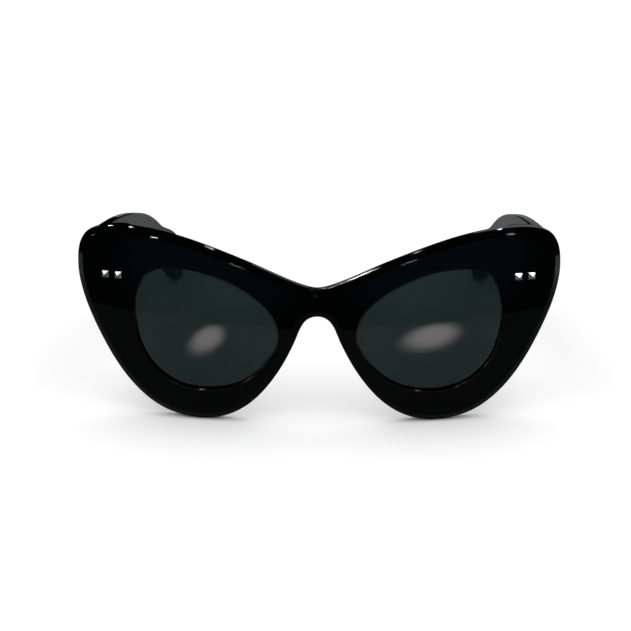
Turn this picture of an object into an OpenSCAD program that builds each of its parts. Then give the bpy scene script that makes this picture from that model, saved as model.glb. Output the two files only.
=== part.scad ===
// Cat eye sunglasses: acetate front and temples, five-barrel hinges, riveted metal studs.
// Drawn with the front upright and x to the wearer's left, then stood on its rims and
// temple tips by stand(). All sizes in millimetres, angles in degrees.

/* [Lenses] */
// Width of one lens
lens_w = 48; // [40:0.5:58]
// Height of one lens
lens_h = 42; // [34:0.5:51]
// Distance between the two lenses
bridge_w = 24; // [18:0.5:29]
// Lens thickness
lens_t = 2; // [1.6:0.1:2.4]
// Depth of the groove that holds the lens edge
groove_depth = 0.9; // [0.6:0.1:1.2]
// Gap between the lens and its groove
groove_gap = 0.03; // [0.01:0.01:0.08]

/* [Front] */
// Radius of the curved front face
front_curve = 260; // [200:5:400]
// Thickness of the front behind the curved face
front_t = 4.5; // [4:0.1:6]
// How far the lens face sits behind the front face
lens_inset = 1.2; // [0.9:0.1:1.5]
// Width of the slanted edge milled around the front
edge_bevel = 1.1; // [0.6:0.1:1.5]
// Rim width under the lens
rim_under = 9.9; // [7:0.5:14]
// Rim width above the lens at the crest of the brow
brow_h = 11.6; // [9:0.2:14]
// How far the wing reaches past the lens
wing_reach = 18.1; // [16:0.2:22]
// Height of the dip between the brows above the lens middle
dip_z = 14.4; // [12:0.2:16]
// Height of the top of the nose arch above the lens middle
arch_z = 5.4; // [3:0.2:7]
// Thickness of the end pieces at the hinge
endpiece_t = 6.5; // [5.8:0.1:8]

/* [Nose pads] */
// How far the nose pads stand out behind the front
pad_depth = 3.6; // [2.5:0.1:5]
// Height of one nose pad
pad_h = 15; // [11:0.5:18]

/* [Hinges] */
// Height of the hinge middle above the lens middle
hinge_z = 17; // [15:0.5:19]
// Distance from the lens edge to the hinge pin
hinge_out = 8.8; // [7:0.2:10]
// Outside diameter of the barrels
barrel_d = 3.2; // [2.8:0.1:3.8]
// Length of one barrel
barrel_l = 1.8; // [1.5:0.1:2.2]
// Gap between neighbouring barrels
barrel_gap = 0.1; // [0.05:0.01:0.2]
// Diameter of the hinge screw
screw_d = 1.4; // [1.2:0.1:1.6]
// Radial play of the screw in the front barrels
screw_play = 0.04; // [0.02:0.01:0.08]
// Distance of the pin behind the end piece
pin_back = 2.2; // [2:0.1:2.8]
// Distance of the pin inside the temple
pin_in = 2.2; // [2:0.1:2.8]
// Thickness of the metal leaves
leaf_t = 1; // [0.8:0.1:1.3]
// Length of the temple's hinge leaf
leaf_l = 15; // [13.5:0.5:20]
// Distance the front's hinge leaf runs past its studs
leaf_edge = 1.6; // [1.3:0.1:3]
// Width of the arm that joins a barrel to its leaf
arm_w = 2.4; // [1.8:0.1:2.8]
// How far the screw head stands out round its shank
head_rim = 0.6; // [0.4:0.05:0.8]
// Thickness of the screw head
head_t = 0.7; // [0.5:0.05:1]
// Width of the driver slot
slot_w = 0.3; // [0.2:0.05:0.5]
// Depth of the driver slot
slot_deep = 0.27; // [0.15:0.01:0.4]

/* [Studs] */
// Width of the square pointed studs
stud_w = 2.2; // [1.8:0.1:2.4]
// Height of the point of a stud
stud_h = 0.9; // [0.6:0.1:1.3]
// Distance between the two studs of a pair
stud_pitch = 4.3; // [3.8:0.1:5]
// Distance of the outer front stud inboard of the hinge pin
stud_in = 0.3; // [0:0.1:1]
// Height of a stud's straight edge above the acetate
stud_edge = 0.3; // [0.2:0.05:0.5]
// Depth a stud head is sunk in the acetate
stud_sink = 0.6; // [0.4:0.05:0.8]
// Distance of the back temple stud from the butt
temple_stud_at = 12; // [11:0.5:14]
// Wall left between a shank's end and the outside
shank_stop = 0.2; // [0.1:0.05:0.4]
// Diameter of the rivet shanks
shank_d = 1.2; // [1:0.1:1.4]

/* [Temples] */
// Length from the end piece to the end of the tip
temple_l = 141; // [120:1:155]
// Thickness of the temples
temple_t = 3.8; // [3.2:0.1:4.6]
// Height of the temple above the hinge middle at the front
temple_up = 12.3; // [9:0.1:13]
// Height of the temple below the hinge middle at the front
temple_down = 8; // [6.5:0.1:11]
// Distance from the end piece to the bend
bend_at = 104; // [90:1:115]
// Height of the temple at the bend
bend_h = 15.5; // [11:0.5:18]
// Drop of the tip below the hinge middle
tip_drop = 29; // [24:0.5:34]
// Radius of the tip
tip_r = 5.5; // [4:0.1:6.5]
// Inward lean of each temple
temple_lean = 3.4; // [0:0.2:5]
// Distance from the end piece to where the temple starts to curve inwards
bow_from = 80; // [60:1:95]
// How far the tip has curved inwards
temple_bow = 3.2; // [0.5:0.1:6]
// Downward slope of the temples from square to the front
temple_slope = 5; // [2:0.5:9]
// Gap between temple and end piece when open
butt_gap = 0.3; // [0.2:0.05:0.5]
// Thickness of the metal core
core_t = 1.2; // [0.8:0.1:1.4]
// Height of the metal core
core_h = 2.6; // [2:0.1:3.4]

/* [Hidden] */
$fn = 96;
fit = 0.02;

// Where things are, from the sizes above
inner_x = bridge_w / 2;
outer_x = inner_x + lens_w;
mid_x = inner_x + lens_w / 2;
top_z = lens_h / 2;
wing_x = outer_x + wing_reach;
crest_z = top_z + brow_h;
foot_z = -top_z - rim_under;
function face_y(x, z) = front_curve - sqrt(front_curve * front_curve - x * x - z * z);
pin_x = outer_x + hinge_out;
butt_y = face_y(pin_x, hinge_z) + endpiece_t;
pin_y = butt_y + pin_back;
stud_x = [pin_x - stud_in - stud_pitch, pin_x - stud_in];
temple_stud_u = [temple_stud_at - stud_pitch, temple_stud_at];
leaf_h = 5 * barrel_l + 4 * barrel_gap;

// A knot is [x, z, heading, reach before, reach after]; reaches are shares of the gap between knots
function along(a) = [cos(a), sin(a)];
function bezier(a, b, c, d, t) =
    a * pow(1 - t, 3) + b * 3 * t * pow(1 - t, 2) + c * 3 * t * t * (1 - t) + d * pow(t, 3);
function between(p, q, n) =
    let (a = [p[0], p[1]], d = [q[0], q[1]], gap = norm(d - a))
    [for (i = [0 : n - 1]) bezier(a, a + along(p[2]) * p[4] * gap, d - along(q[2]) * q[3] * gap, d, i / n)];
function chain(k, n) = [for (i = [0 : len(k) - 2]) each between(k[i], k[i + 1], n)];
function last_knot(k) = [k[len(k) - 1][0], k[len(k) - 1][1]];

// Moves every point of a closed clockwise outline outward by d
function shift_out(p, d) =
    let (n = len(p))
    [for (i = [0 : n - 1])
        let (v = p[(i + 1) % n] - p[(i + n - 1) % n])
        p[i] + [-v[1], v[0]] * (d / norm(v))];

// Half of the front outline, from the dip over the wing and round to the nose arch
front_knots = [
    [0, dip_z, 0, 0.36, 0.2],
    [inner_x + 10, dip_z + 8.1, 21, 0.3, 0.3],
    [mid_x + 27.8, crest_z, 0, 0.36, 0.25],
    [wing_x - 2.2, crest_z - 3.7, -54, 0.34, 0.34],
    [wing_x, hinge_z + 2.5, -90, 0.38, 0.3],
    [outer_x + 10.8, -4.4, -116, 0.34, 0.34],
    [outer_x - 2.6, foot_z + 7.3, -138, 0.34, 0.34],
    [mid_x + 1.8, foot_z, -180, 0.4, 0.4],
    [inner_x + 5.6, foot_z + 10.6, -230, 0.3, 0.34],
    [inner_x - 4.6, arch_z - 8.8, -246, 0.34, 0.36],
    [0, arch_z, -180, 0.42, 0.36]
];
half_front = concat(chain(front_knots, 8), [last_knot(front_knots)]);
front_outline = concat(half_front, [for (i = [len(half_front) - 2 : -1 : 1]) [-half_front[i][0], half_front[i][1]]]);

// Lens outline, clockwise from its top
lens_knots = [
    [mid_x + 10.4, top_z, 0, 0.36, 0.36],
    [outer_x - 3, top_z - 4.8, -60, 0.36, 0.36],
    [outer_x, top_z - 15.4, -90, 0.38, 0.34],
    [outer_x - 6, -top_z + 7.4, -131, 0.34, 0.34],
    [mid_x + 1, -top_z, -180, 0.38, 0.36],
    [inner_x + 8.4, -top_z + 5.6, -220, 0.34, 0.34],
    [inner_x, -0.9, -270, 0.36, 0.34],
    [inner_x + 7, 0.55 * lens_h - 11.6, -324, 0.4, 0.3],
    [mid_x + 10.4, top_z, 0, 0.36, 0.36]
];
lens_outline = chain(lens_knots, 8);

// Temple profile, from the butt along the top to the tip and back underneath
tip_u = temple_l - tip_r;
tip_w = tip_r - tip_drop;
bend_up = temple_up - 14;
function on_tip(a) = [tip_u + tip_r * cos(a), tip_w + tip_r * sin(a)];
temple_top = [
    [-2, temple_up, 0, 0.36, 0.36],
    [bend_at * 0.57, temple_up - 3, -8, 0.36, 0.36],
    [bend_at, bend_up, -23, 0.36, 0.3],
    [on_tip(20)[0], on_tip(20)[1], -70, 0.4, 0.36]
];
temple_under = [
    [on_tip(-85)[0], on_tip(-85)[1], -175, 0.36, 0.3],
    [bend_at + 4, bend_up - bend_h, -203, 0.34, 0.36],
    [bend_at * 0.5, -temple_down - 4.5, -184, 0.36, 0.36],
    [-2, -temple_down, -180, 0.36, 0.36]
];
temple_outline = concat(chain(temple_top, 8), [for (a = [20 : -15 : -70]) on_tip(a)],
    chain(temple_under, 8), [last_knot(temple_under)]);

// Plan of the temple: straight from the hinge, then curving inwards to the tip
function bow(u) = temple_bow * pow(max(u - bow_from, 0) / (temple_l - bow_from), 2);
bow_u = [-5, for (i = [0 : 8]) bow_from + (temple_l + 2 - bow_from) * i / 8];
function plan_band(x0, x1) = concat(
    [for (u = bow_u) [x0 - bow(u), u]],
    [for (i = [len(bow_u) - 1 : -1 : 0]) [x1 - bow(bow_u[i]), bow_u[i]]]);

// The core follows the temple from the butt to the tip
core_knots = [
    [-2, -5.2, 0, 0.36, 0.36],
    [bend_at * 0.5, -6, -2, 0.36, 0.36],
    [bend_at, bend_up - bend_h / 2, -18, 0.36, 0.36],
    [tip_u - 3, tip_w, -36, 0.36, 0.36]
];
core_line = concat(chain(core_knots, 6), [last_knot(core_knots)]);
core_end = len(core_line) - 1;
core_side = [for (i = [0 : core_end])
    let (v = core_line[min(i + 1, core_end)] - core_line[max(i - 1, 0)]) [-v[1], v[0]] / norm(v)];
function ribbon(h) = concat(
    [for (i = [0 : core_end]) core_line[i] + core_side[i] * h / 2],
    [for (i = [core_end : -1 : 0]) core_line[i] - core_side[i] * h / 2]);

// Standing: the rims and both tips touch the table
function behind_y(x, z) = front_curve - sqrt(pow(front_curve - front_t, 2) - x * x - z * z);
rim_foot = [behind_y(mid_x + 1.8, foot_z), foot_z];
tip_run = butt_gap - pin_back + tip_u * cos(temple_lean) + (temple_t - bow(tip_u)) * sin(temple_lean);
tip_centre = [pin_y + tip_run * cos(temple_slope) + tip_w * sin(temple_slope),
    hinge_z + tip_w * cos(temple_slope) - tip_run * sin(temple_slope)];
foot_to_tip = tip_centre - rim_foot;
stand_tilt = atan2(foot_to_tip[1], foot_to_tip[0]) - asin(tip_r / norm(foot_to_tip));
table_z = rim_foot[1] * cos(stand_tilt) - rim_foot[0] * sin(stand_tilt);
tip_y = tip_centre[0] * cos(stand_tilt) + tip_centre[1] * sin(stand_tilt) + tip_r;

module stand() {
    translate([0, -tip_y / 2, -table_z])
        rotate([-stand_tilt, 0, 0])
            children();
}

// Turns an x-z outline into a solid from y0 back to y1
module slab(points, y0, y1) {
    translate([0, y1, 0])
        rotate([90, 0, 0])
            linear_extrude(y1 - y0)
                polygon(points);
}

// The space between two depths behind the curved face
module shell(front_depth, back_depth) {
    difference() {
        translate([0, front_curve, 0])
            sphere(front_curve - front_depth, $fn = 360);
        translate([0, front_curve, 0])
            sphere(front_curve - back_depth, $fn = 360);
    }
}

// Mirrors children to the other side of the nose
module other_side() {
    mirror([1, 0, 0]) children();
}

// Puts the hinge pin's own axes at the pin, z along it
module at_pin() {
    translate([pin_x, pin_y, hinge_z])
        rotate([-temple_slope, 0, 0])
            children();
}

// Puts the temple's own axes at its butt: x outward, y back, z up
module at_temple() {
    at_pin()
        translate([pin_in, butt_gap - pin_back, 0])
            rotate([0, 0, temple_lean])
                children();
}

// Turns a profile seen from the side into a solid from x0 out to x1
module side_slab(points, x0, x1) {
    translate([x0, 0, 0])
        rotate([90, 0, 90])
            linear_extrude(x1 - x0)
                polygon(points);
}

// Square pointed stud head, point towards -y, base at the origin
module stud_head(grow = 0) {
    w = stud_w / 2 + grow;
    translate([-w, -stud_edge, -w])
        cube([2 * w, stud_edge + stud_sink + grow, 2 * w]);
    intersection() {
        side_slab([[-stud_edge, -w], [-stud_edge - stud_h, 0], [-stud_edge, w]], -w, w);
        translate([0, 0, -w])
            linear_extrude(2 * w)
                polygon([[-w, -stud_edge], [0, -stud_edge - stud_h], [w, -stud_edge]]);
    }
}

// Rivet through the end piece and the front leaf
module front_rivet(x, grow = 0) {
    y0 = face_y(x, hinge_z);
    translate([x, y0, hinge_z])
        rotate([0, 0, asin(x / front_curve)])
            stud_head(grow);
    translate([x, butt_y, hinge_z])
        rotate([90, 0, 0])
            cylinder(d = shank_d + 2 * grow, h = butt_y - y0 - shank_stop);
}

// Rivet through the temple and its leaf
module temple_rivet(u, grow = 0) {
    at_temple()
        translate([temple_t, u, 0]) {
            rotate([0, 0, 90])
                stud_head(grow);
            translate([-temple_t, 0, 0])
                rotate([0, 90, 0])
                    cylinder(d = shank_d + 2 * grow, h = temple_t - shank_stop);
        }
}

// Thicker block at the end of the front, flat behind for the temple to butt on
module end_piece() {
    y0 = face_y(outer_x, hinge_z);
    intersection() {
        slab(front_outline, -1, butt_y);
        translate([0, 0, hinge_z - 14])
            linear_extrude(crest_z + 20 - hinge_z)
                polygon([[outer_x - 2, y0 + 1.6], [outer_x + 2, butt_y], [wing_x + 5, butt_y], [wing_x + 5, y0]]);
        translate([0, front_curve, 0])
            sphere(front_curve - edge_bevel, $fn = 360);
    }
}

// Curved plate of the front, its edge milled back in two passes towards the face
module front_plate() {
    for (cut = [[edge_bevel, 0], [edge_bevel * 0.4, edge_bevel * 0.4], [0, edge_bevel]])
        intersection() {
            slab(shift_out(front_outline, -cut[0]), -1, butt_y);
            shell(cut[1], front_t);
        }
}

module front_leaf_plate(grow = 0) {
    x0 = stud_x[0] - leaf_edge;
    x1 = pin_x + barrel_d / 2 + 0.4;
    translate([x0 - grow, butt_y - leaf_t - grow, hinge_z - leaf_h / 2 - grow])
        cube([x1 - x0 + 2 * grow, leaf_t + grow, leaf_h + 2 * grow]);
}

module temple_leaf_plate(grow = 0) {
    translate([0, 0.5 - grow, -leaf_h / 2 - grow])
        cube([leaf_t + grow, leaf_l + 2 * grow, leaf_h + 2 * grow]);
}

// Barrels at the numbered places along the pin, 0 in the middle
module barrels(places) {
    for (k = places)
        translate([0, 0, k * (barrel_l + barrel_gap) - barrel_l / 2])
            cylinder(d = barrel_d, h = barrel_l);
}

module front_leaf() {
    color([0.72, 0.72, 0.74])
        difference() {
            union() {
                front_leaf_plate();
                at_pin() {
                    barrels([-1, 1]);
                    for (k = [-1, 1])
                        translate([-arm_w / 2, -pin_back - leaf_t / 2, k * (barrel_l + barrel_gap) - barrel_l / 2])
                            cube([arm_w, pin_back + leaf_t / 2, barrel_l]);
                }
            }
            at_pin()
                translate([0, 0, -leaf_h])
                    cylinder(d = screw_d + 2 * screw_play, h = 2 * leaf_h);
            for (x = stud_x)
                front_rivet(x, fit);
        }
}

module temple_leaf() {
    color([0.72, 0.72, 0.74])
        difference() {
            union() {
                at_temple()
                    temple_leaf_plate();
                at_pin() {
                    barrels([-2, 0, 2]);
                    for (k = [-2, 0, 2])
                        translate([0, -arm_w / 2, k * (barrel_l + barrel_gap) - barrel_l / 2])
                            cube([pin_in + leaf_t / 2, arm_w, barrel_l]);
                }
            }
            at_pin()
                translate([0, 0, -leaf_h])
                    cylinder(d = screw_d + 2 * fit, h = 2 * leaf_h);
            for (u = temple_stud_u)
                temple_rivet(u, fit);
        }
}

module hinge_screw() {
    head_z = leaf_h / 2 + fit;
    color([0.8, 0.8, 0.82])
        at_pin()
            difference() {
                union() {
                    translate([0, 0, -leaf_h / 2])
                        cylinder(d = screw_d, h = leaf_h + head_t / 2);
                    translate([0, 0, head_z])
                        cylinder(d = screw_d + 2 * head_rim, h = head_t);
                }
                translate([-screw_d - head_rim, -slot_w / 2, head_z + head_t - slot_deep])
                    cube([2 * (screw_d + head_rim), slot_w, 2 * slot_deep]);
            }
}

// Keeps what is behind the end piece, clear of it by the butt gap
module behind_butt() {
    intersection() {
        children();
        translate([0, butt_y + butt_gap, -100])
            cube([200, 300, 200]);
    }
}

// A side profile given a thickness from x0 to x1 that follows the plan of the temple
module bowed_slab(points, x0, x1) {
    intersection() {
        side_slab(points, x0 - 2 * temple_bow, x1);
        translate([0, 0, -tip_drop - temple_l / 4])
            linear_extrude(tip_drop + temple_l / 2)
                polygon(plan_band(x0, x1));
    }
}

module temple() {
    color([0.02, 0.02, 0.025])
        behind_butt()
            difference() {
                at_temple()
                    bowed_slab(temple_outline, 0, temple_t);
                at_temple()
                    bowed_slab(ribbon(core_h + 2 * fit), (temple_t - core_t) / 2 + leaf_t / 2 - fit,
                        (temple_t + core_t) / 2 + leaf_t / 2 + fit);
                at_temple()
                    temple_leaf_plate(fit);
                for (u = temple_stud_u)
                    temple_rivet(u, fit);
            }
}

module temple_core() {
    color([0.6, 0.6, 0.62])
        behind_butt()
            at_temple()
                bowed_slab(ribbon(core_h), (temple_t - core_t) / 2 + leaf_t / 2,
                    (temple_t + core_t) / 2 + leaf_t / 2);
}

module lens() {
    color([0.13, 0.16, 0.16, 0.8])
        intersection() {
            slab(lens_outline, -1, butt_y);
            shell(lens_inset, lens_inset + lens_t);
        }
}

// Smooth pad standing out behind the nose side of the rim
module nose_pad() {
    pad_r = (pad_h * pad_h / 4 + pad_depth * pad_depth) / (2 * pad_depth);
    pad_x = inner_x - 1.6;
    pad_z = arch_z - 9.5;
    color([0.02, 0.02, 0.025])
        difference() {
            intersection() {
                translate([pad_x, behind_y(pad_x, pad_z) + pad_depth - pad_r, pad_z])
                    sphere(pad_r);
                translate([0, front_curve, 0])
                    sphere(front_curve - front_t, $fn = 360);
                slab(shift_out(front_outline, -0.4), 0, butt_y + 10);
            }
            slab(shift_out(lens_outline, 0.3), -2, butt_y + 12);
        }
}

module front_frame() {
    color([0.02, 0.02, 0.025])
        difference() {
            union() {
                front_plate();
                end_piece();
                other_side()
                    end_piece();
            }
            for (side = [0, 1])
                mirror([side, 0, 0]) {
                    slab(shift_out(lens_outline, -groove_depth), -2, butt_y + 2);
                    intersection() {
                        slab(shift_out(lens_outline, groove_gap), -1, butt_y);
                        shell(lens_inset - groove_gap, lens_inset + lens_t + groove_gap);
                    }
                    front_leaf_plate(fit);
                    for (x = stud_x)
                        front_rivet(x, fit);
                }
        }
}

module stud_steel() {
    color([0.85, 0.85, 0.87])
        children();
}

stand() front_frame();
stand() lens();  // lens_left
stand() other_side() lens();  // lens_right
stand() nose_pad();  // nose_pad_left
stand() other_side() nose_pad();  // nose_pad_right
stand() front_leaf();  // front_leaf_left
stand() other_side() front_leaf();  // front_leaf_right
stand() temple_leaf();  // temple_leaf_left
stand() other_side() temple_leaf();  // temple_leaf_right
stand() hinge_screw();  // hinge_screw_left
stand() other_side() hinge_screw();  // hinge_screw_right
stand() stud_steel() front_rivet(stud_x[0]);  // front_rivet_inner_left
stand() stud_steel() front_rivet(stud_x[1]);  // front_rivet_outer_left
stand() other_side() stud_steel() front_rivet(stud_x[0]);  // front_rivet_inner_right
stand() other_side() stud_steel() front_rivet(stud_x[1]);  // front_rivet_outer_right
stand() stud_steel() temple_rivet(temple_stud_u[0]);  // temple_rivet_front_left
stand() stud_steel() temple_rivet(temple_stud_u[1]);  // temple_rivet_back_left
stand() other_side() stud_steel() temple_rivet(temple_stud_u[0]);  // temple_rivet_front_right
stand() other_side() stud_steel() temple_rivet(temple_stud_u[1]);  // temple_rivet_back_right
stand() temple();  // temple_left
stand() other_side() temple();  // temple_right
stand() temple_core();  // temple_core_left
stand() other_side() temple_core();  // temple_core_right
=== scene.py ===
import math
import bpy
import numpy as np
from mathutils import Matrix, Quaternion, Vector
from mathutils.geometry import delaunay_2d_cdt


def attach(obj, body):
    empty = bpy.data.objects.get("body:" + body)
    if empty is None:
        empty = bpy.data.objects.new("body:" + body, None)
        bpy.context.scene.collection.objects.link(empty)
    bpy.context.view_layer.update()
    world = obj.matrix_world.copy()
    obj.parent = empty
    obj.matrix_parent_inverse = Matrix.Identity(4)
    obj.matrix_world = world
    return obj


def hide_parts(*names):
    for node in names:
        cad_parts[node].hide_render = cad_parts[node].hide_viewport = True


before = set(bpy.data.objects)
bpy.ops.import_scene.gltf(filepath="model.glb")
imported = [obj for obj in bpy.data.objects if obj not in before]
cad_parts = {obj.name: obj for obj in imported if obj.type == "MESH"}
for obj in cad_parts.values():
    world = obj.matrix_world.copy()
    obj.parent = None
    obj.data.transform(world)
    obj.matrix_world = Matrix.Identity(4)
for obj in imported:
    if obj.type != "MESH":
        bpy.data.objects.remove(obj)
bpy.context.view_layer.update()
print("frame loaded")

# sizes in mm, as the glasses are worn: x to the wearer's left, y back, z up from the lens middle
lensSizes = {"width": 48.0, "height": 42.0, "bridge": 24.0, "thick": 2.0, "inset": 1.2, "groove": 0.9,
             "fit": 0.05, "grid": 2.0}
frontSizes = {"curve": 260.0, "thick": 4.5, "under": 9.9, "brow": 11.6, "wing": 18.1, "dip": 14.4,
              "arch": 5.4, "bevel": 1.9, "bevelDepth": 1.25, "endPiece": 6.5, "endFrom": 0.6,
              "endBelow": 14, "endBlend": 3, "endFit": 0.03, "faceGrid": 2.4, "backGrid": 1.6}
hingeSizes = {"z": 17.0, "out": 8.8, "pinBack": 2.2, "pinIn": 2.2, "buttGap": 0.3}
templeSizes = {"length": 141.0, "thick": 3.8, "up": 12.3, "down": 8.0, "bend": 104.0, "bendHeight": 15.5,
               "bendDrop": 14, "drop": 29.0, "tip": 5.5, "lean": 3.4, "bow": 3.2, "bowFrom": 80.0,
               "slope": 5.0, "round": 0.9, "innerFit": 0.03, "outerFit": 0.01, "grid": 4.0}
padSizes = {"depth": 3.6, "height": 15.0, "halfWidth": 2.35, "pinch": 0.35, "lean": -66,
            "middle": (-1.75, -9.6), "sunk": 0.15, "topFit": 0.1}
outlineGap = 0.8  # between points along the front and lens outlines
curveSteps = 40  # points in each stretch between two knots

innerX = lensSizes["bridge"] / 2
outerX = innerX + lensSizes["width"]
midX = innerX + lensSizes["width"] / 2
topZ = lensSizes["height"] / 2
wingX = outerX + frontSizes["wing"]
crestZ = topZ + frontSizes["brow"]
footZ = -topZ - frontSizes["under"]
curve = frontSizes["curve"]


def faceY(x, z, depth=0.0):
    return curve - np.sqrt((curve - depth) ** 2 - x * x - z * z)


pinX = outerX + hingeSizes["out"]
buttY = float(faceY(pinX, hingeSizes["z"])) + frontSizes["endPiece"]
pinY = buttY + hingeSizes["pinBack"]


def sinCos(degrees):
    return math.sin(math.radians(degrees)), math.cos(math.radians(degrees))


def bowAt(u):
    # how far the temple has curved in at u along it
    size = templeSizes
    return size["bow"] * (np.maximum(u - size["bowFrom"], 0) / (size["length"] - size["bowFrom"])) ** 2


# how the open glasses stand: on the rims and both tips
slopeSin, slopeCos = sinCos(templeSizes["slope"])
leanSin, leanCos = sinCos(templeSizes["lean"])
tipU = templeSizes["length"] - templeSizes["tip"]
tipW = templeSizes["tip"] - templeSizes["drop"]
footX = midX + 1.8
rimFoot = (float(faceY(footX, footZ, frontSizes["thick"])), footZ)
tipRun = (hingeSizes["buttGap"] - hingeSizes["pinBack"] + tipU * leanCos
          + (templeSizes["thick"] - float(bowAt(tipU))) * leanSin)
tipMiddle = (pinY + tipRun * slopeCos + tipW * slopeSin,
             hingeSizes["z"] + tipW * slopeCos - tipRun * slopeSin)
footToTip = (tipMiddle[0] - rimFoot[0], tipMiddle[1] - rimFoot[1])
tipShare = templeSizes["tip"] / math.hypot(*footToTip)
standTilt = math.atan2(footToTip[1], footToTip[0]) - math.asin(tipShare)
tiltSin, tiltCos = math.sin(standTilt), math.cos(standTilt)
tableZ = rimFoot[1] * tiltCos - rimFoot[0] * tiltSin
backY = tipMiddle[0] * tiltCos + tipMiddle[1] * tiltSin + templeSizes["tip"]


def turned(points):
    # from the worn frame to the way the glasses stand
    x, y, z = points[:, 0], points[:, 1], points[:, 2]
    return np.stack([x, y * tiltCos + z * tiltSin, z * tiltCos - y * tiltSin], axis=1)


def stood(points):
    return (turned(points) - np.array([0, backY / 2, tableZ])) / 1000


def fromTemple(points):
    # from the temple's own frame, x out, y along, z up, to the worn frame
    side = points[:, 0] - bowAt(points[:, 1])
    x = side * leanCos - points[:, 1] * leanSin + hingeSizes["pinIn"]
    y = side * leanSin + points[:, 1] * leanCos + hingeSizes["buttGap"] - hingeSizes["pinBack"]
    z = points[:, 2]
    return np.stack([pinX + x, pinY + y * slopeCos + z * slopeSin,
                     hingeSizes["z"] + z * slopeCos - y * slopeSin], axis=1)


def turnedFromTemple(normals):
    x = normals[:, 0] * leanCos - normals[:, 1] * leanSin
    y = normals[:, 0] * leanSin + normals[:, 1] * leanCos
    z = normals[:, 2]
    return turned(np.stack([x, y * slopeCos + z * slopeSin, z * slopeCos - y * slopeSin], axis=1))


# an outline runs through knots: a knot is x, z, heading, reach before, reach after
def knotCurve(knots):
    line = []
    for a, b in zip(knots, knots[1:]):
        start, end = np.array(a[:2]), np.array(b[:2])
        gap = np.linalg.norm(end - start)
        sinA, cosA = sinCos(a[2])
        sinB, cosB = sinCos(b[2])
        pullA = start + np.array([cosA, sinA]) * a[4] * gap
        pullB = end - np.array([cosB, sinB]) * b[3] * gap
        for i in range(curveSteps):
            t = i / curveSteps
            line.append(start * (1 - t) ** 3 + pullA * 3 * t * (1 - t) ** 2
                        + pullB * 3 * t * t * (1 - t) + end * t ** 3)
    line.append(np.array(knots[-1][:2], float))
    return np.array(line)


def evenly(line, spacing):
    # the same line with points at nearly equal gaps
    gaps = np.linalg.norm(np.diff(line, axis=0), axis=1)
    along = np.concatenate([[0], np.cumsum(gaps)])
    count = max(2, int(round(along[-1] / spacing)))
    places = np.linspace(0, along[-1], count + 1)
    return np.stack([np.interp(places, along, line[:, k]) for k in range(2)], axis=1)


def outward(loop):
    # the sideways direction out of a closed clockwise loop, at each point
    ahead = np.roll(loop, -1, axis=0) - np.roll(loop, 1, axis=0)
    sideways = np.stack([-ahead[:, 1], ahead[:, 0]], axis=1)
    return sideways / np.linalg.norm(sideways, axis=1)[:, None]


frontKnots = [
    (0, frontSizes["dip"], 0, 0.36, 0.2),
    (innerX + 10, frontSizes["dip"] + 8.1, 21, 0.3, 0.3),
    (midX + 27.8, crestZ, 0, 0.36, 0.25),
    (wingX - 2.2, crestZ - 3.7, -54, 0.34, 0.34),
    (wingX, hingeSizes["z"] + 2.5, -90, 0.38, 0.3),
    (outerX + 10.8, -4.4, -116, 0.34, 0.34),
    (outerX - 2.6, footZ + 7.3, -138, 0.34, 0.34),
    (footX, footZ, -180, 0.4, 0.4),
    (innerX + 5.6, footZ + 10.6, -230, 0.3, 0.34),
    (innerX - 4.6, frontSizes["arch"] - 8.8, -246, 0.34, 0.36),
    (0, frontSizes["arch"], -180, 0.42, 0.36)]
lensKnots = [
    (midX + 10.4, topZ, 0, 0.36, 0.36),
    (outerX - 3, topZ - 4.8, -60, 0.36, 0.36),
    (outerX, topZ - 15.4, -90, 0.38, 0.34),
    (outerX - 6, -topZ + 7.4, -131, 0.34, 0.34),
    (midX + 1, -topZ, -180, 0.38, 0.36),
    (innerX + 8.4, -topZ + 5.6, -220, 0.34, 0.34),
    (innerX, -0.9, -270, 0.36, 0.34),
    (innerX + 7, 0.55 * lensSizes["height"] - 11.6, -324, 0.4, 0.3),
    (midX + 10.4, topZ, 0, 0.36, 0.36)]

halfFront = evenly(knotCurve(frontKnots), outlineGap)
frontLoop = np.concatenate([halfFront, (halfFront * [-1, 1])[-2:0:-1]])
lensLoop = evenly(knotCurve(lensKnots), outlineGap)[:-1]
print("outlines drawn")


def insideLoop(points, loop):
    x, z = points[:, 0], points[:, 1]
    inside = np.zeros(len(points), bool)
    for a, b in zip(loop, np.roll(loop, -1, axis=0)):
        crosses = (a[1] > z) != (b[1] > z)
        with np.errstate(divide="ignore", invalid="ignore"):
            inside ^= crosses & (x < (b[0] - a[0]) * (z - a[1]) / (b[1] - a[1]) + a[0])
    return inside


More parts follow.
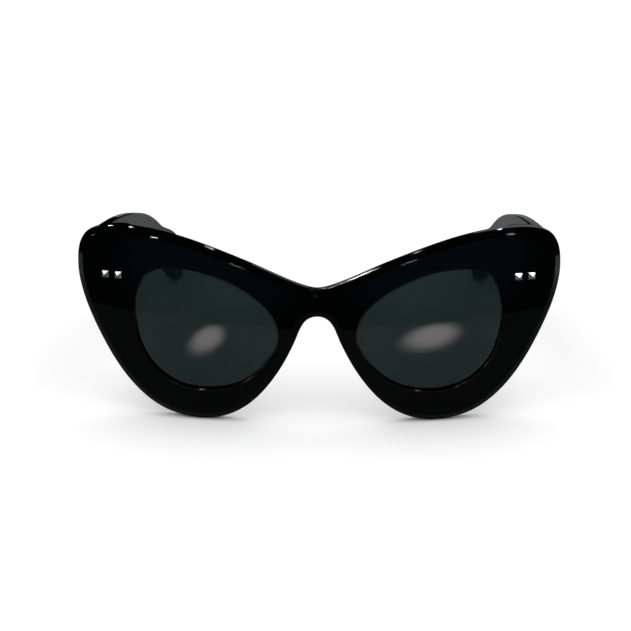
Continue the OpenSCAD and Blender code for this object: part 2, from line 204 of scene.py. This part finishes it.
def filled(loops, spacing):
    # triangles between an outer loop and the holes in it, with a grid of inner points
    low, high = loops[0].min(axis=0), loops[0].max(axis=0)
    gridX, gridZ = np.meshgrid(np.arange(low[0] + spacing / 2, high[0], spacing),
                               np.arange(low[1] + spacing / 2, high[1], spacing))
    grid = np.stack([gridX.ravel(), gridZ.ravel()], axis=1)
    edge = np.concatenate(loops)
    near = np.array([np.min(np.sum((edge - p) ** 2, axis=1)) for p in grid]) < (spacing * 0.45) ** 2
    keep = insideLoop(grid, loops[0]) & ~near
    for hole in loops[1:]:
        keep &= ~insideLoop(grid, hole)
    points = np.concatenate([edge, grid[keep]])
    edges, start = [], 0
    for loop in loops:
        edges += [(start + i, start + (i + 1) % len(loop)) for i in range(len(loop))]
        start += len(loop)
    found = delaunay_2d_cdt([Vector(p) for p in points], edges, [], 0, 1e-7)
    original = [ids[0] if ids else -1 for ids in found[3]]
    triangles = np.array([[original[i] for i in f] for f in found[2]])
    middles = points[triangles].mean(axis=1)
    keep = insideLoop(middles, loops[0])
    for hole in loops[1:]:
        keep &= ~insideLoop(middles, hole)
    triangles = triangles[keep]
    a, b, c = (points[triangles[:, k]] for k in range(3))
    turn = (b[:, 0] - a[:, 0]) * (c[:, 1] - a[:, 1]) - (b[:, 1] - a[:, 1]) * (c[:, 0] - a[:, 0])
    triangles[turn < 0] = triangles[turn < 0][:, ::-1]
    return points, triangles


class Surface:
    def __init__(self):
        self.points, self.normals, self.faces = [], [], []

    def add(self, points, normals, faces):
        start = sum(len(p) for p in self.points)
        self.points.append(points)
        self.normals.append(normals)
        self.faces += [tuple(int(i) + start for i in f) for f in faces]

    def joinRings(self, rings, normals, flip=False):
        # closed rings of equal length, each joined to the next
        n = len(rings[0])
        faces = []
        for k in range(len(rings) - 1):
            for i in range(n):
                j = (i + 1) % n
                quad = (k * n + i, k * n + j, (k + 1) * n + j, (k + 1) * n + i)
                faces.append(quad[::-1] if flip else quad)
        self.add(np.concatenate(rings), np.concatenate(normals), faces)

    def build(self, name, mirrored=False):
        points = np.concatenate(self.points)
        normals = np.concatenate(self.normals)
        faces = self.faces
        if mirrored:
            points = points * [-1, 1, 1]
            normals = normals * [-1, 1, 1]
            faces = [f[::-1] for f in faces]
        mesh = bpy.data.meshes.new(name)
        mesh.from_pydata(points.tolist(), [], faces)
        mesh.polygons.foreach_set("use_smooth", [True] * len(mesh.polygons))
        mesh.update()
        lengths = np.linalg.norm(normals, axis=1)[:, None]
        mesh.normals_split_custom_set_from_vertices((normals / lengths).tolist())
        piece = bpy.data.objects.new(name, mesh)
        bpy.context.scene.collection.objects.link(piece)
        return piece


def sphereNormals(points, sign):
    # the curved face's centre is at y = curve
    away = points - np.array([0, curve, 0])
    return sign * away / np.linalg.norm(away, axis=1)[:, None]


def smoothStep(t):
    t = np.clip(t, 0, 1)
    return t * t * (3 - 2 * t)


def backOfFront(x, z):
    # the back of the rims, thickened to the flat end pieces beside the hinges
    size = frontSizes
    behind = faceY(x, z, size["thick"])
    weight = (smoothStep((np.abs(x) - outerX + size["endFrom"]) / size["endBlend"])
              * smoothStep((z - hingeSizes["z"] + size["endBelow"]) / size["endBlend"]))
    return behind * (1 - weight) + (buttY - size["endFit"]) * weight


def slopedNormals(height, flat, sign):
    step = 0.05
    x, z = flat[:, 0], flat[:, 1]
    dx = (height(x + step, z) - height(x - step, z)) / (2 * step)
    dz = (height(x, z + step) - height(x, z - step)) / (2 * step)
    return sign * np.stack([-dx, np.ones(len(flat)), -dz], axis=1)


def onHeight(flat, y):
    return np.stack([flat[:, 0], y, flat[:, 1]], axis=1)


def rimRing(loop, side, offset, depth, angle, fromBack=False):
    # one ring of a rounded rim: offset along side, depth into the plate, the surface's angle to the side
    flat = loop + side * offset
    faceNormal = sphereNormals(onHeight(flat, faceY(flat[:, 0], flat[:, 1])), 1)
    sinA, cosA = sinCos(angle)
    if fromBack:
        points = onHeight(flat, backOfFront(flat[:, 0], flat[:, 1]) - depth)
        faceNormal = slopedNormals(backOfFront, flat, -1)
        faceNormal /= np.linalg.norm(faceNormal, axis=1)[:, None]
    else:
        points = onHeight(flat, faceY(flat[:, 0], flat[:, 1]) + depth)
    outwards = onHeight(side, np.zeros(len(side)))
    outwards = outwards - faceNormal * np.sum(outwards * faceNormal, axis=1)[:, None]
    outwards /= np.linalg.norm(outwards, axis=1)[:, None]
    return points, outwards * cosA + faceNormal * sinA


def makeFront():
    bevel, bevelDepth = frontSizes["bevel"], frontSizes["bevelDepth"]
    bevelAngle = math.degrees(math.atan2(bevel, bevelDepth))
    # each row is an offset, a depth and an angle, as rimRing takes them
    outerRim = [(-bevel - 0.35, 0, 90), (-bevel - 0.08, 0.015, 80), (-bevel + 0.14, 0.15, bevelAngle),
                (-0.22, bevelDepth - 0.14, bevelAngle), (-0.05, bevelDepth + 0.08, 25),
                (0, bevelDepth + 0.35, 0)]
    outerBack = [(0, 0.8, 0), (-0.1, 0.4, -28), (-0.35, 0.1, -62), (-0.8, 0, -90)]
    lensRim = [(0.5, 0, 90), (0.26, 0.03, 72), (0.08, 0.14, 38), (0, 0.42, 0)]
    lensBack = [(0, 0.5, 0), (0.1, 0.18, -40), (0.4, 0, -90)]
    side = outward(frontLoop)
    lensSide = outward(lensLoop)
    opening = lensLoop - lensSide * lensSizes["groove"]
    front = Surface()

    rings = [rimRing(frontLoop, side, *step) for step in outerRim]
    rings += [rimRing(frontLoop, side, *step, fromBack=True) for step in outerBack]
    front.joinRings([r[0] for r in rings], [r[1] for r in rings])
    outerFront = rings[0][0][:, [0, 2]]
    outerBehind = rings[-1][0][:, [0, 2]]
    holesFront, holesBehind = [], []
    for flip in (1, -1):
        loop = opening * [flip, 1]
        into = -lensSide * [flip, 1]
        hole = [rimRing(loop, into, -off, depth, angle) for off, depth, angle in lensRim]
        hole += [rimRing(loop, into, -off, depth, angle, fromBack=True) for off, depth, angle in lensBack]
        front.joinRings([r[0] for r in hole], [r[1] for r in hole], flip=flip > 0)
        holesFront.append(hole[0][0][:, [0, 2]])
        holesBehind.append(hole[-1][0][:, [0, 2]])

    flat, triangles = filled([outerFront] + holesFront, frontSizes["faceGrid"])
    points = onHeight(flat, faceY(flat[:, 0], flat[:, 1]))
    front.add(points, sphereNormals(points, 1), triangles)
    flat, triangles = filled([outerBehind] + holesBehind, frontSizes["backGrid"])
    points = onHeight(flat, backOfFront(flat[:, 0], flat[:, 1]))
    front.add(points, slopedNormals(backOfFront, flat, 1), triangles[:, ::-1])
    front.points = [stood(p) for p in front.points]
    front.normals = [turned(n) for n in front.normals]
    return front.build("frontPlate")


def makeLens(name, mirrored):
    side = outward(lensLoop)
    near, far = lensSizes["inset"], lensSizes["inset"] + lensSizes["thick"]
    rim = lensLoop - side * lensSizes["fit"]
    lens = Surface()
    flat, triangles = filled([rim], lensSizes["grid"])
    for depth, sign in ((near, 1), (far, -1)):
        points = onHeight(flat, faceY(flat[:, 0], flat[:, 1], depth))
        facets = triangles if sign > 0 else triangles[:, ::-1]
        lens.add(stood(points), turned(sphereNormals(points, sign)), facets)
    edge = [onHeight(rim, faceY(lensLoop[:, 0], lensLoop[:, 1], depth)) for depth in (near, far)]
    edgeNormals = turned(onHeight(side, np.zeros(len(side))))
    lens.joinRings([stood(p) for p in edge], [edgeNormals, edgeNormals])
    return lens.build(name, mirrored)


def makePad(name, mirrored):
    # a smooth bean on the back of the nose side of the rim
    size = padSizes
    middle = np.array([innerX, frontSizes["arch"]]) + size["middle"]
    alongSin, alongCos = sinCos(size["lean"])
    turns = np.linspace(0, 2 * math.pi, 64, endpoint=False)
    shares = np.sin(np.linspace(math.pi / 2, 0.02, 16))
    rings, normals = [], []
    for share in shares:
        u = np.cos(turns) * size["height"] * 0.46 * share
        v = np.sin(turns) * (size["halfWidth"] - size["pinch"] * np.cos(turns)) * share
        flat = middle + np.stack([u * alongCos - v * alongSin, u * alongSin + v * alongCos], axis=1)
        rise = math.sqrt(max(0, 1 - share ** 2)) * (size["depth"] - size["topFit"])
        rimBack = faceY(flat[:, 0], flat[:, 1], frontSizes["thick"])
        rings.append(onHeight(flat, rimBack - size["sunk"] + rise))
    for k, ring in enumerate(rings):
        around = np.roll(ring, -1, axis=0) - np.roll(ring, 1, axis=0)
        across = rings[min(k + 1, len(rings) - 1)] - rings[max(k - 1, 0)]
        normals.append(np.cross(around, across))
    facing = np.sign(np.mean(normals[-2][:, 1]))
    normals = [n * facing for n in normals]
    pad = Surface()
    pad.joinRings([stood(r) for r in rings], [turned(n) for n in normals], flip=facing < 0)
    top = rings[-1]
    topFace = tuple(range(len(top)))[::int(facing)]
    pad.add(stood(top), turned(np.tile([0, 1.0, 0], (len(top), 1))), [topFace])
    return pad.build(name, mirrored)


def templeLoop():
    # side view: u along the temple from the hinge, w up
    size = templeSizes
    bend = size["bend"]
    bendUp = size["up"] - size["bendDrop"]
    bendLow = bendUp - size["bendHeight"]

    def onTip(angle):
        sinT, cosT = sinCos(angle)
        return tipU + size["tip"] * cosT, tipW + size["tip"] * sinT

    over = knotCurve([
        (-2, size["up"], 0, 0.36, 0.36),
        (bend * 0.57, size["up"] - 3, -8, 0.36, 0.36),
        (bend, bendUp, -23, 0.36, 0.3),
        (*onTip(20), -70, 0.4, 0.36)])
    tip = np.array([onTip(angle) for angle in range(17, -85, -3)])
    under = knotCurve([
        (*onTip(-85), -175, 0.36, 0.3),
        (bend + 4, bendLow, -203, 0.34, 0.36),
        (bend * 0.5, -size["down"] - 4.5, -184, 0.36, 0.36),
        (-2, -size["down"], -180, 0.36, 0.36)])
    line = np.concatenate([over, tip, under])
    # the butt end is cut parallel to the end piece
    reach = (buttY + hingeSizes["buttGap"] - pinY - line[:, 1] * slopeSin) / slopeCos
    buttU = (reach - hingeSizes["buttGap"] + hingeSizes["pinBack"]) / leanCos
    line = line[line[:, 0] > buttU + 0.3]
    topU, lowU = buttU[0], buttU[-1]
    line = np.concatenate([[(topU, line[0, 1])], line, [(lowU, line[-1, 1])]])
    line = evenly(line, 0.9)
    buttLine = [line[-1] + (line[0] - line[-1]) * t for t in np.linspace(0, 1, 24)[1:-1]]
    return np.concatenate([line, buttLine])


def makeTemple(name, mirrored):
    size = templeSizes
    rounding = size["round"]
    loop = templeLoop()
    # the butt's two corners stay nearly square, so the inset follows the loop's own side
    side = outward(loop)
    temple = Surface()
    rings, normals = [], []
    for angle in (-90, -68, -45, -22, 0, 0, 22, 45, 68, 90):
        sinA, cosA = sinCos(angle)
        if len(rings) < 5:
            x = rounding + rounding * sinA + size["innerFit"]
        else:
            x = size["thick"] - rounding + rounding * sinA - size["outerFit"]
        flat = loop - side * rounding * (1 - cosA)
        rings.append(np.stack([np.full(len(flat), x), flat[:, 0], flat[:, 1]], axis=1))
        normals.append(np.stack([np.full(len(flat), sinA), side[:, 0] * cosA, side[:, 1] * cosA], axis=1))
    temple.joinRings(rings, normals, flip=True)
    for ring, sign in ((rings[0], -1), (rings[-1], 1)):
        flat, triangles = filled([ring[:, [1, 2]]], size["grid"])
        points = np.stack([np.full(len(flat), ring[0, 0]), flat[:, 0], flat[:, 1]], axis=1)
        facets = triangles[:, ::-1] if sign < 0 else triangles
        temple.add(points, np.tile([sign, 0.0, 0.0], (len(points), 1)), facets)
    bowSlope = 2 * size["bow"] / (size["length"] - size["bowFrom"]) ** 2
    for points, normals in zip(temple.points, temple.normals):
        normals[:, 1] += normals[:, 0] * bowSlope * np.maximum(points[:, 1] - size["bowFrom"], 0)
        normals /= np.linalg.norm(normals, axis=1)[:, None]
    temple.normals = [turnedFromTemple(n) for n in temple.normals]
    temple.points = [stood(fromTemple(p)) for p in temple.points]
    return temple.build(name, mirrored)


# shader groups
def newGroup(name, inputs, outputs):
    group = bpy.data.node_groups.new(name, "ShaderNodeTree")
    for label, kind, value in inputs:
        socket = group.interface.new_socket(label, in_out="INPUT", socket_type=kind)
        socket.default_value = value
    for label, kind in outputs:
        group.interface.new_socket(label, in_out="OUTPUT", socket_type=kind)
    return group, group.nodes.new("NodeGroupInput"), group.nodes.new("NodeGroupOutput")


def wipeMarks():
    # soft smears and fine hairlines left by polishing and handling
    group, given, result = newGroup(
        "wipeMarks",
        [("Smear Size", "NodeSocketFloat", 60), ("Clean", "NodeSocketFloat", 0.03),
         ("Smeared", "NodeSocketFloat", 0.1)],
        [("Roughness", "NodeSocketFloat"), ("Hairlines", "NodeSocketFloat")])
    nodes, links = group.nodes, group.links
    where = nodes.new("ShaderNodeTexCoord")
    smear = nodes.new("ShaderNodeTexNoise")
    smear.inputs["Detail"].default_value = 5
    smear.inputs["Distortion"].default_value = 0.8
    spread = nodes.new("ShaderNodeMapRange")
    spread.inputs["From Min"].default_value = 0.42
    spread.inputs["From Max"].default_value = 0.75
    stretch = nodes.new("ShaderNodeMapping")
    stretch.inputs["Rotation"].default_value = (0.3, 0.5, 0.7)
    stretch.inputs["Scale"].default_value = (1800, 90, 90)
    lines = nodes.new("ShaderNodeTexNoise")
    lines.inputs["Scale"].default_value = 1
    lines.inputs["Detail"].default_value = 2
    links.new(where.outputs["Object"], smear.inputs["Vector"])
    links.new(given.outputs["Smear Size"], smear.inputs["Scale"])
    links.new(smear.outputs["Fac"], spread.inputs["Value"])
    links.new(given.outputs["Clean"], spread.inputs["To Min"])
    links.new(given.outputs["Smeared"], spread.inputs["To Max"])
    links.new(spread.outputs["Result"], result.inputs["Roughness"])
    links.new(where.outputs["Object"], stretch.inputs["Vector"])
    links.new(stretch.outputs["Vector"], lines.inputs["Vector"])
    links.new(lines.outputs["Fac"], result.inputs["Hairlines"])
    return group


def depthTint():
    # slow change between two colours through the material
    group, given, result = newGroup(
        "depthTint",
        [("Scale", "NodeSocketFloat", 30), ("Deep", "NodeSocketColor", (0, 0, 0, 1)),
         ("Light", "NodeSocketColor", (0.01, 0.01, 0.01, 1))],
        [("Color", "NodeSocketColor")])
    nodes, links = group.nodes, group.links
    where = nodes.new("ShaderNodeTexCoord")
    cloud = nodes.new("ShaderNodeTexNoise")
    cloud.inputs["Detail"].default_value = 4
    blend = nodes.new("ShaderNodeMix")
    blend.data_type = "RGBA"
    links.new(where.outputs["Object"], cloud.inputs["Vector"])
    links.new(given.outputs["Scale"], cloud.inputs["Scale"])
    links.new(cloud.outputs["Fac"], blend.inputs["Factor"])
    links.new(given.outputs["Deep"], blend.inputs["A"])
    links.new(given.outputs["Light"], blend.inputs["B"])
    links.new(blend.outputs["Result"], result.inputs["Color"])
    return group


marks = wipeMarks()
tint = depthTint()

# a finish drifts between its deep and light colours, and its roughness between clean and smeared
finishes = {
    "blackAcetate": {"deep": (0.0002, 0.0003, 0.0003), "light": (0.0008, 0.001, 0.001), "tintScale": 45,
                     "clean": 0.02, "smeared": 0.05, "bump": 0.05,
                     "sockets": {"IOR": 1.49, "Specular IOR Level": 0.24}},
    "padAcetate": {"deep": (0.002, 0.0022, 0.0025), "light": (0.006, 0.0065, 0.007), "tintScale": 60,
                   "clean": 0.05, "smeared": 0.12, "bump": 0.1, "sockets": {"IOR": 1.49}},
    "greyLens": {"deep": (0.0108, 0.0182, 0.0172), "light": (0.0134, 0.0212, 0.0198), "tintScale": 15,
                 "clean": 0.0, "smeared": 0.004, "bump": 0.0,
                 "sockets": {"IOR": 1.5, "Transmission Weight": 1.0}},
    "polishedStud": {"deep": (0.7, 0.7, 0.72), "light": (0.85, 0.85, 0.87), "tintScale": 900,
                     "clean": 0.24, "smeared": 0.34, "bump": 0.2, "sockets": {"Metallic": 1.0}},
    "hingeSteel": {"deep": (0.5, 0.5, 0.52), "light": (0.66, 0.66, 0.68), "tintScale": 700,
                   "clean": 0.22, "smeared": 0.38, "bump": 0.4, "sockets": {"Metallic": 1.0}},
    "screwSteel": {"deep": (0.55, 0.55, 0.57), "light": (0.72, 0.72, 0.74), "tintScale": 900,
                   "clean": 0.16, "smeared": 0.3, "bump": 0.4, "sockets": {"Metallic": 1.0}},
    "coreWire": {"deep": (0.42, 0.42, 0.44), "light": (0.55, 0.55, 0.57), "tintScale": 300,
                 "clean": 0.25, "smeared": 0.4, "bump": 0.4, "sockets": {"Metallic": 1.0}},
    "floorPaper": {"deep": (0.9, 0.9, 0.9), "light": (0.93, 0.93, 0.93), "tintScale": 8,
                   "clean": 0.7, "smeared": 0.9, "bump": 0.0, "sockets": {"Specular IOR Level": 0.0}},
}


def finishOf(name):
    finish = finishes[name]
    material = bpy.data.materials.new(name)
    material.use_nodes = True
    nodes, links = material.node_tree.nodes, material.node_tree.links
    shader = nodes["Principled BSDF"]
    for label, value in finish["sockets"].items():
        shader.inputs[label].default_value = value
    wipes = nodes.new("ShaderNodeGroup")
    wipes.node_tree = marks
    wipes.inputs["Clean"].default_value = finish["clean"]
    wipes.inputs["Smeared"].default_value = finish["smeared"]
    colour = nodes.new("ShaderNodeGroup")
    colour.node_tree = tint
    colour.inputs["Scale"].default_value = finish["tintScale"]
    colour.inputs["Deep"].default_value = (*finish["deep"], 1)
    colour.inputs["Light"].default_value = (*finish["light"], 1)
    relief = nodes.new("ShaderNodeBump")
    relief.inputs["Strength"].default_value = finish["bump"]
    relief.inputs["Distance"].default_value = 0.00001
    links.new(colour.outputs["Color"], shader.inputs["Base Color"])
    links.new(wipes.outputs["Roughness"], shader.inputs["Roughness"])
    links.new(wipes.outputs["Hairlines"], relief.inputs["Height"])
    links.new(relief.outputs["Normal"], shader.inputs["Normal"])
    return material


acetate = finishOf("blackAcetate")
padAcetate = finishOf("padAcetate")
lensGlass = finishOf("greyLens")
metalFor = {"rivet": finishOf("polishedStud"), "leaf": finishOf("hingeSteel"),
            "screw": finishOf("screwSteel"), "core": finishOf("coreWire")}
print("materials made")


def placed(piece, material, body, node):
    piece.data.materials.clear()
    piece.data.materials.append(material)
    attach(piece, body)
    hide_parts(node)


placed(makeFront(), acetate, "front", "front_frame")
print("front built")
for sideName, mirrored in (("left", False), ("right", True)):
    lens = makeLens("lensGlass_" + sideName, mirrored)
    pad = makePad("nosePad_" + sideName, mirrored)
    temple = makeTemple("templeArm_" + sideName, mirrored)
    placed(lens, lensGlass, "front", "lens_" + sideName)
    placed(pad, padAcetate, "front", "nose_pad_" + sideName)
    placed(temple, acetate, "temple_" + sideName, "temple_" + sideName)
print("lenses, pads and temples built")

# the metal pieces show the CAD's own solids
for nodeName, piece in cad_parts.items():
    for word, material in metalFor.items():
        if word in nodeName:
            piece.data.materials.clear()
            piece.data.materials.append(material)

# surroundings, in metres
studio = {"floorSize": 6.0, "sky": 0.72}
shineAim = (0, -0.07, 0.05)

# lamps seen only as reflections
shineLamps = {
    "middleLamp": {"place": (0.0, -0.82, 0.68), "size": (0.06, 0.04), "glow": 110},
    "studLampLeft": {"place": (-0.30, -0.46, 0.88), "size": (0.05, 0.05), "glow": 700},
    "studLampRight": {"place": (0.44, -0.39, 0.89), "size": (0.05, 0.05), "glow": 300},
    "dotLampLeft": {"place": (-0.25, 0.45, 0.87), "size": (0.03, 0.03), "glow": 1500},
    "dotLampRight": {"place": (0.165, 0.47, 0.89), "size": (0.03, 0.03), "glow": 1500},
    "streakLamp": {"place": (-0.42, 0.42, 0.83), "size": (0.05, 0.04), "glow": 1500},
    "leftWindow": {"place": (-0.83, -0.29, 0.54), "size": (0.14, 0.14), "glow": 22.0},
}

# cards seen only as reflections; walls stand up and the rest lie just above the floor
floorCards = {
    "floorBehind": {"place": (0, 0.36, 0.001), "size": (1.2, 0.5), "glow": (0.22, 0.24, 0.24),
                    "soft": False},
    "floorRight": {"place": (0.30, 0.03, 0.0015), "size": (0.36, 0.46), "glow": (0.6, 0.64, 0.64)},
    "floorLeft": {"place": (-0.30, 0.03, 0.0015), "size": (0.36, 0.46), "glow": (0.28, 0.3, 0.3)},
    "floorAhead": {"place": (0, -0.105, 0.001), "size": (1.0, 0.196), "glow": (0.1, 0.105, 0.103),
                   "soft": False},
    "glowLeft": {"place": (-0.068, -0.158, 0.0025), "size": (0.027, 0.09), "glow": (2.9, 2.65, 2.7),
                 "turn": -0.2},
    "glowRight": {"place": (0.069, -0.166, 0.0025), "size": (0.046, 0.092), "glow": (3.1, 2.8, 2.85),
                  "turn": 0.6},
}
wallCards = {
    "wallBehind": {"place": (0.26, 0.9, 0.10), "size": (0.36, 0.30), "glow": (0.9, 0.93, 0.93)},
    "wallRight": {"place": (0.5, 0.62, 0.09), "size": (0.9, 0.2), "glow": (0.2, 0.22, 0.22),
                  "soft": False},
    "coolWallLeft": {"place": (-0.17, -0.4, 0.04), "size": (0.40, 0.26), "glow": (0.05, 0.11, 0.15)},
    "coolWallRight": {"place": (0.17, -0.4, 0.04), "size": (0.40, 0.26), "glow": (0.05, 0.11, 0.15)},
}


def makeFloor():
    half = studio["floorSize"] / 2
    corners = [(-half, -half, 0), (half, -half, 0), (half, half, 0), (-half, half, 0)]
    mesh = bpy.data.meshes.new("floor")
    mesh.from_pydata(corners, [], [(0, 1, 2, 3)])
    mesh.materials.append(finishOf("floorPaper"))
    floor = bpy.data.objects.new("floor", mesh)
    bpy.context.scene.collection.objects.link(floor)
    floor.visible_glossy = False


def softLight(name, place, aim, size, glow, forShine):
    # glow is the brightness of the light's own face
    data = bpy.data.lights.new(name, "AREA")
    data.shape = "RECTANGLE"
    data.size, data.size_y = size
    data.energy = glow * math.pi * size[0] * size[1]
    light = bpy.data.objects.new(name, data)
    light.location = place
    light.rotation_euler = (Vector(aim) - Vector(place)).to_track_quat("-Z", "Y").to_euler()
    light.visible_glossy = forShine
    light.visible_diffuse = not forShine
    light.visible_transmission = not forShine
    light.visible_camera = False
    bpy.context.scene.collection.objects.link(light)


def glowPatch(name, place, size, glow, soft=True, tilt=0.0, turn=0.0):
    # a soft card fades out towards its edge
    mesh = bpy.data.meshes.new(name)
    mesh.from_pydata([(-1, -1, 0), (1, -1, 0), (1, 1, 0), (-1, 1, 0)], [], [(0, 1, 2, 3)])
    patch = bpy.data.objects.new(name, mesh)
    patch.location = place
    patch.rotation_euler = (tilt, 0, turn)
    patch.scale = (size[0] / 2, size[1] / 2, 1)
    bpy.context.scene.collection.objects.link(patch)
    material = bpy.data.materials.new(name)
    material.use_nodes = True
    nodes, links = material.node_tree.nodes, material.node_tree.links
    nodes.remove(nodes["Principled BSDF"])
    light = nodes.new("ShaderNodeEmission")
    light.inputs["Color"].default_value = (*[c / max(glow) for c in glow], 1)
    light.inputs["Strength"].default_value = max(glow)
    surface = light
    if soft:
        where = nodes.new("ShaderNodeTexCoord")
        ball = nodes.new("ShaderNodeTexGradient")
        ball.gradient_type = "SPHERICAL"
        fade = nodes.new("ShaderNodeMapRange")
        fade.interpolation_type = "SMOOTHERSTEP"
        fade.inputs["To Max"].default_value = max(glow)
        fade.inputs["From Max"].default_value = 0.8
        links.new(where.outputs["Object"], ball.inputs["Vector"])
        links.new(ball.outputs["Fac"], fade.inputs["Value"])
        links.new(fade.outputs["Result"], light.inputs["Strength"])
        clear = nodes.new("ShaderNodeBsdfTransparent")
        surface = nodes.new("ShaderNodeAddShader")
        links.new(light.outputs["Emission"], surface.inputs[0])
        links.new(clear.outputs["BSDF"], surface.inputs[1])
    links.new(surface.outputs[0], nodes["Material Output"].inputs["Surface"])
    mesh.materials.append(material)
    patch.visible_camera = patch.visible_diffuse = False
    patch.visible_shadow = patch.visible_transmission = False


makeFloor()
softLight("overheadSoft", (0, -0.1, 1.4), (0, 0, 0), (2.2, 2.2), 1.2, False)
for name, lamp in shineLamps.items():
    softLight(name, aim=shineAim, forShine=True, **lamp)
for name, card in floorCards.items():
    glowPatch(name, **card)
for name, card in wallCards.items():
    glowPatch(name, tilt=math.pi / 2, **card)

# a white sky that doesn't show in reflections
world = bpy.data.worlds.new("studio")
world.use_nodes = True
bpy.context.scene.world = world
worldNodes, worldLinks = world.node_tree.nodes, world.node_tree.links
sky = worldNodes["Background"]
sky.inputs["Color"].default_value = (1, 1, 1, 1)
rayKind = worldNodes.new("ShaderNodeLightPath")
skyLevel = worldNodes.new("ShaderNodeMapRange")
skyLevel.inputs["To Min"].default_value = studio["sky"]
skyLevel.inputs["To Max"].default_value = 0.0
worldLinks.new(rayKind.outputs["Is Glossy Ray"], skyLevel.inputs["Value"])
worldLinks.new(skyLevel.outputs["Result"], sky.inputs["Strength"])

cameraView = {"azimuth": 1.7, "elevation": 20.2, "distance": 0.5, "aim": (-0.0006, -0.0738, 0.0366),
              "lens": 89.3, "roll": -0.28}
sinAz, cosAz = sinCos(cameraView["azimuth"])
sinEl, cosEl = sinCos(cameraView["elevation"])
aim = Vector(cameraView["aim"])
cameraData = bpy.data.cameras.new("camera")
cameraData.lens = cameraView["lens"]
cameraData.clip_start = 0.01
camera = bpy.data.objects.new("camera", cameraData)
camera.location = aim + cameraView["distance"] * Vector((sinAz * cosEl, -cosAz * cosEl, sinEl))
facing = (aim - camera.location).to_track_quat("-Z", "Y")
camera.rotation_euler = (facing @ Quaternion((0, 0, 1), math.radians(cameraView["roll"]))).to_euler()
bpy.context.scene.collection.objects.link(camera)
bpy.context.scene.camera = camera
bpy.context.scene.view_settings.view_transform = "Standard"
print("studio ready")
